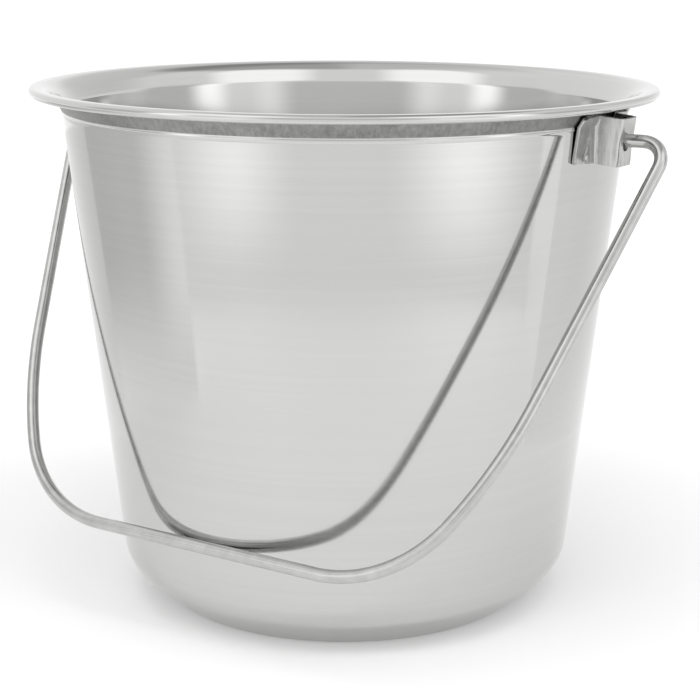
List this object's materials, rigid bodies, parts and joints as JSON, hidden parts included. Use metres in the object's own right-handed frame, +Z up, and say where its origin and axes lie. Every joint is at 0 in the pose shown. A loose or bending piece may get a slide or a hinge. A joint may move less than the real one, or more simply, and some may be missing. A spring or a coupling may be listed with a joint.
{
  "type": "milk pail",
  "caption": "Stainless steel milk pail with a tapered seamless body, a curled rim, spot-welded ears and a swinging wire bail that hangs against the wall.",
  "frame": {"origin": "centre of the base, on the surface that the pail stands on", "axes": "+X along the bail's pivot axis towards the right ear, +Z up; the bail hangs to the -Y side"},
  "size_m": [0.344, 0.3048, 0.254],
  "materials": {
    "shell_steel": "satin, brushed round the body, brighter inside",
    "ear_steel": "smooth pressed sheet",
    "weld_steel": "dull electrode mark",
    "bail_steel": "bright drawn wire"
  },
  "bodies": {
    "pail": {"pail_shell": "shell_steel", "right_ear": "ear_steel", "left_ear": "ear_steel", "right_ear_welds": "weld_steel", "left_ear_welds": "weld_steel"},
    "bail": {"bail": "bail_steel"}
  },
  "joints": [
    {"name": "bail_swing", "type": "hinge", "parent": "pail", "child": "bail", "pos_m": [0, 0, 0.236], "axis": [-1, 0, 0], "range_deg": [0, 294.4]}
  ]
}
